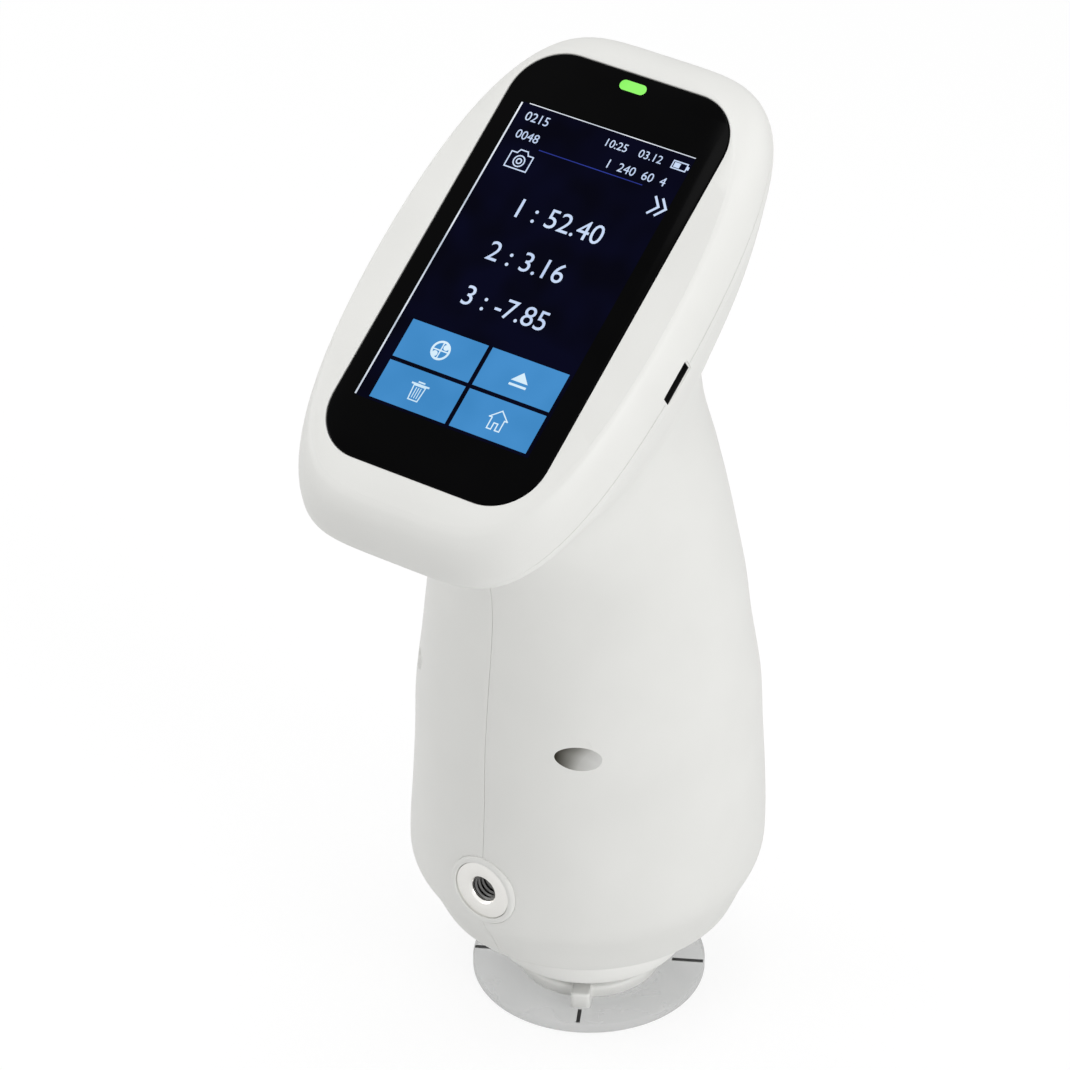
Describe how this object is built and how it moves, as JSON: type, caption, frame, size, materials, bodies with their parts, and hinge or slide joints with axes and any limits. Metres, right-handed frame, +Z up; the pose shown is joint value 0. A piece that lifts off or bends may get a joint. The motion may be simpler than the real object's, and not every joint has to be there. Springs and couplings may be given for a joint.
{
  "type": "handheld sphere colorimeter",
  "caption": "Upright hand-held sphere colorimeter with a tilted touch screen on a waisted body, standing on its clear locating disc.",
  "frame": {"origin": "centre of the measuring aperture, level with the underside of the locating disc, on the port's axis", "axes": "+Z up along the port axis, -Y towards the user and the low end of the screen, +X to the user's right"},
  "size_m": [0.0816, 0.1189, 0.2324],
  "materials": {
    "white_shell": "fine satin moulding, warm white",
    "black_glass": "polished cover glass with a black mask",
    "screen": "lit liquid-crystal panel",
    "diffuser": "white light spreader",
    "sheet_metal": "bare stamped sheet",
    "circuit_board": "green solder mask",
    "screw_steel": "zinc-plated",
    "green_light": "lit green light pipe",
    "black_plastic": "moulded black plastic",
    "nickel": "turned brass, satin nickel plated",
    "sphere_white": "matt white reflective coating",
    "optics_black": "black anodised",
    "lens_glass": "polished",
    "dark_frame": "glass-filled plastic",
    "shield_can": "tinned can",
    "battery_wrap": "shrink wrap",
    "button_grey": "soft-touch grey",
    "rubber": "matt",
    "clear_disc": "clear polished acrylic",
    "mark_black": "filled paint"
  },
  "bodies": {
    "root": {"head_front_cover": "white_shell", "touch_glass": "black_glass", "lcd_panel": "screen", "lcd_backlight": "diffuser", "display_frame": "sheet_metal", "display_board": "circuit_board", "display_spacers": "screw_steel", "display_screws": "screw_steel", "status_led": "diffuser", "status_light_guide": "green_light", "usb_receptacle": "sheet_metal", "usb_tongue": "black_plastic", "body_shell_right": "white_shell", "body_shell_left": "white_shell", "shell_screws": "screw_steel", "shell_screw_plugs": "white_shell", "tripod_socket_bezel": "white_shell", "tripod_insert": "nickel", "port_plate": "white_shell", "port_flange": "white_shell", "port_screws": "screw_steel", "aperture_ring": "black_plastic", "sphere_lower": "sphere_white", "sphere_upper": "sphere_white", "sphere_baffle": "sphere_white", "illuminant_board": "circuit_board", "illuminant_leds": "diffuser", "specular_trap": "optics_black", "lens_barrel": "optics_black", "collecting_lens": "lens_glass", "camera_module": "black_plastic", "chassis": "dark_frame", "chassis_screws": "screw_steel", "spectrometer_housing": "optics_black", "spectrometer_lid": "optics_black", "concave_grating": "lens_glass", "line_sensor_board": "circuit_board", "main_board": "circuit_board", "processor_shield": "shield_can", "battery_pack": "battery_wrap", "battery_strap": "black_plastic", "buzzer": "black_plastic", "button_bracket": "dark_frame", "button_board": "circuit_board", "tact_switch": "black_plastic", "power_switch_body": "black_plastic"},
    "button": {"measure_button": "button_grey"},
    "power_slider": {"power_switch_knob": "black_plastic"},
    "grip": {"locator_grip_ring": "rubber"},
    "locator": {"locator_collar": "white_shell", "locator_disc": "clear_disc", "locator_marks": "mark_black"}
  },
  "joints": [
    {"name": "locator_pull_off", "type": "slide", "parent": "root", "child": "grip", "axis": [0, 0, -1], "range_m": [0, 0.006]},
    {"name": "locator_turn", "type": "hinge", "parent": "grip", "child": "locator", "pos_m": [0, 0, 0.0046], "axis": [0, 0, 1], "continuous": true},
    {"name": "button_press", "type": "slide", "parent": "root", "child": "button", "axis": [0, -0.9711, -0.2385], "range_m": [0, 0.001], "stiffness_N_per_m": 600, "springref_m": -0.001},
    {"name": "power_slide", "type": "slide", "parent": "root", "child": "power_slider", "axis": [0, 0, 1], "range_m": [0, 0.003]}
  ]
}
